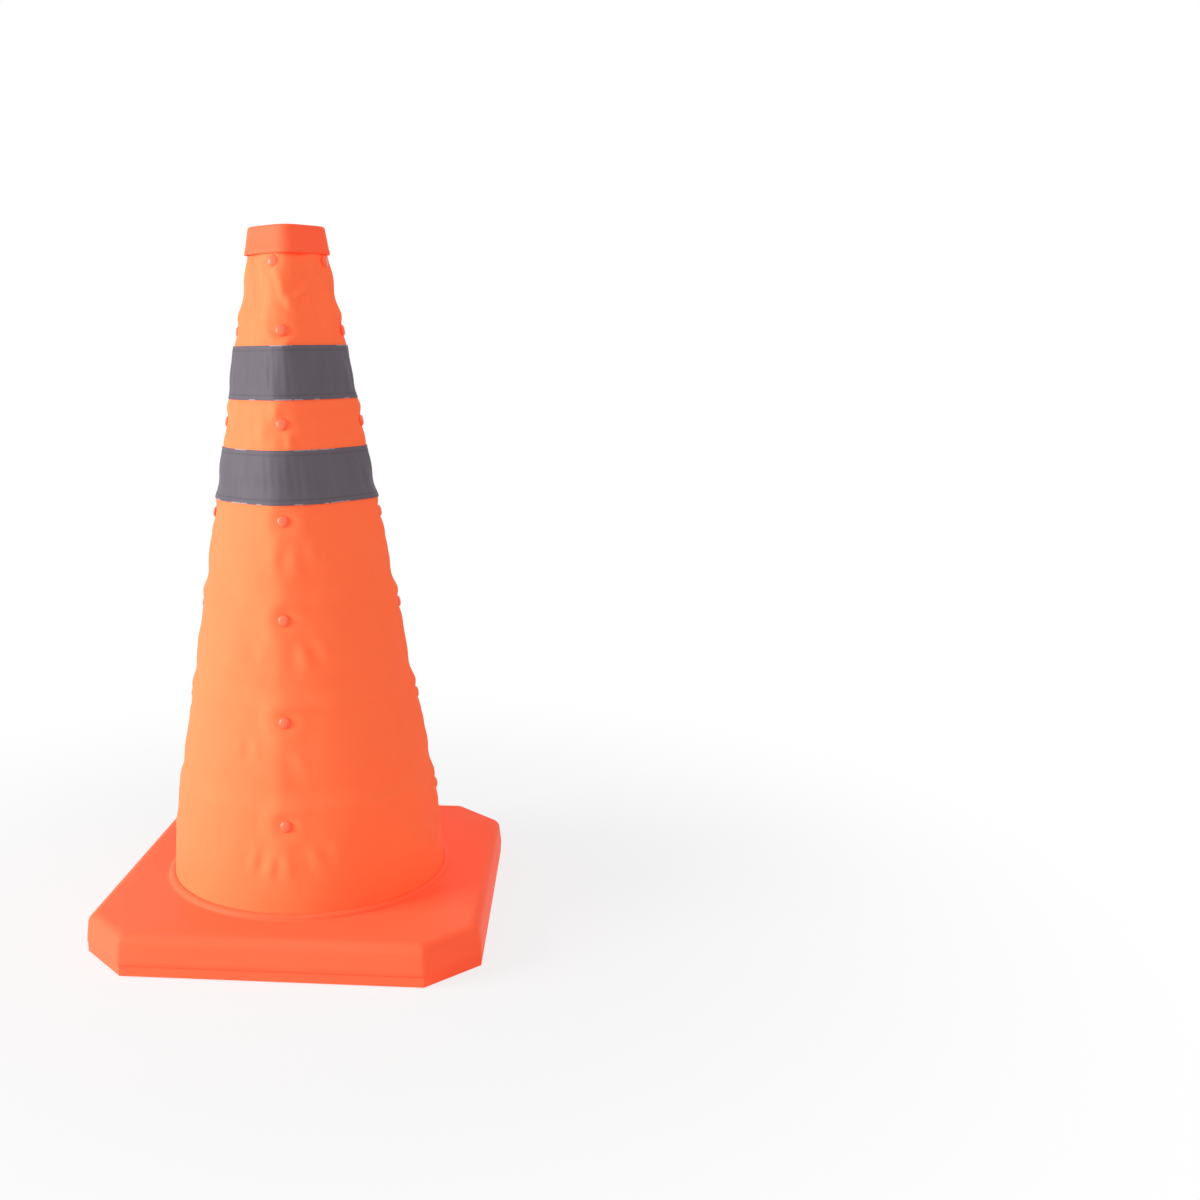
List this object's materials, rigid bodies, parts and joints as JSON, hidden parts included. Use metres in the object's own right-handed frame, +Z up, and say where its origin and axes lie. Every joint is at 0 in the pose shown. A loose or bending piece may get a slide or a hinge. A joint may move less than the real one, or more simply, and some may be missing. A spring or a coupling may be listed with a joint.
{
  "type": "collapsible traffic cone",
  "caption": "Collapsible traffic cone: nested tapered sleeves slide into a cut-cornered moulded base under a riveted orange cloth skin with sewn reflective bands and a square cap.",
  "frame": {"origin": "on the floor under the middle of the base, with the cone extended", "axes": "+Z up along the cone's axis; -Y is the side of the base that the picture shows most of"},
  "size_m": [0.254, 0.254, 0.45],
  "materials": {
    "base_plastic": "satin orange-red moulding with a fine texture",
    "rivet_plastic": "glossy orange-red moulding",
    "sleeve_plastic": "plain orange moulding",
    "orange_cloth": "coated woven cloth",
    "reflective_tape": "grey reflective woven tape",
    "rubber": "plain",
    "screw_steel": "plain"
  },
  "bodies": {
    "base": {"base_shell": "base_plastic", "bottom_cover": "base_plastic", "rubber_foot_1": "rubber", "rubber_foot_2": "rubber", "rubber_foot_3": "rubber", "rubber_foot_4": "rubber", "cover_screw_1": "screw_steel", "cover_screw_2": "screw_steel", "cover_screw_3": "screw_steel", "cover_screw_4": "screw_steel", "sleeve_1": "sleeve_plastic", "rivet_1_1": "rivet_plastic", "rivet_1_2": "rivet_plastic", "rivet_1_3": "rivet_plastic", "rivet_1_4": "rivet_plastic", "skin_panel_1": "orange_cloth"},
    "sleeve_2": {"sleeve_2": "sleeve_plastic", "rivet_2_1": "rivet_plastic", "rivet_2_2": "rivet_plastic", "rivet_2_3": "rivet_plastic", "rivet_2_4": "rivet_plastic", "skin_panel_2": "orange_cloth"},
    "sleeve_3": {"sleeve_3": "sleeve_plastic", "rivet_3_1": "rivet_plastic", "rivet_3_2": "rivet_plastic", "rivet_3_3": "rivet_plastic", "rivet_3_4": "rivet_plastic", "skin_panel_3": "orange_cloth"},
    "sleeve_4": {"sleeve_4": "sleeve_plastic", "rivet_4_1": "rivet_plastic", "rivet_4_2": "rivet_plastic", "rivet_4_3": "rivet_plastic", "rivet_4_4": "rivet_plastic", "skin_panel_4": "orange_cloth"},
    "sleeve_5": {"sleeve_5": "sleeve_plastic", "rivet_5_1": "rivet_plastic", "rivet_5_2": "rivet_plastic", "rivet_5_3": "rivet_plastic", "rivet_5_4": "rivet_plastic", "skin_panel_5": "orange_cloth", "lower_reflective_band": "reflective_tape"},
    "sleeve_6": {"sleeve_6": "sleeve_plastic", "rivet_6_1": "rivet_plastic", "rivet_6_2": "rivet_plastic", "rivet_6_3": "rivet_plastic", "rivet_6_4": "rivet_plastic", "skin_panel_6": "orange_cloth", "upper_reflective_band": "reflective_tape"},
    "top": {"sleeve_7": "sleeve_plastic", "top_cap": "base_plastic", "rivet_7_1": "rivet_plastic", "rivet_7_2": "rivet_plastic", "rivet_7_3": "rivet_plastic", "rivet_7_4": "rivet_plastic", "skin_panel_7": "orange_cloth"}
  },
  "joints": [
    {"name": "slide_2", "type": "slide", "parent": "base", "child": "sleeve_2", "axis": [0, 0, 1], "range_m": [-0.084, 0], "deforming": ["skin_panel_2"]},
    {"name": "slide_3", "type": "slide", "parent": "sleeve_2", "child": "sleeve_3", "axis": [0, 0, 1], "range_m": [-0.064, 0], "deforming": ["skin_panel_3"]},
    {"name": "slide_4", "type": "slide", "parent": "sleeve_3", "child": "sleeve_4", "axis": [0, 0, 1], "range_m": [-0.0621, 0], "deforming": ["skin_panel_4"]},
    {"name": "slide_5", "type": "slide", "parent": "sleeve_4", "child": "sleeve_5", "axis": [0, 0, 1], "range_m": [-0.0602, 0], "deforming": ["skin_panel_5", "lower_reflective_band"]},
    {"name": "slide_6", "type": "slide", "parent": "sleeve_5", "child": "sleeve_6", "axis": [0, 0, 1], "range_m": [-0.0583, 0], "deforming": ["skin_panel_6", "upper_reflective_band"]},
    {"name": "slide_7", "type": "slide", "parent": "sleeve_6", "child": "top", "axis": [0, 0, 1], "range_m": [-0.033, 0], "deforming": ["skin_panel_7"]}
  ]
}
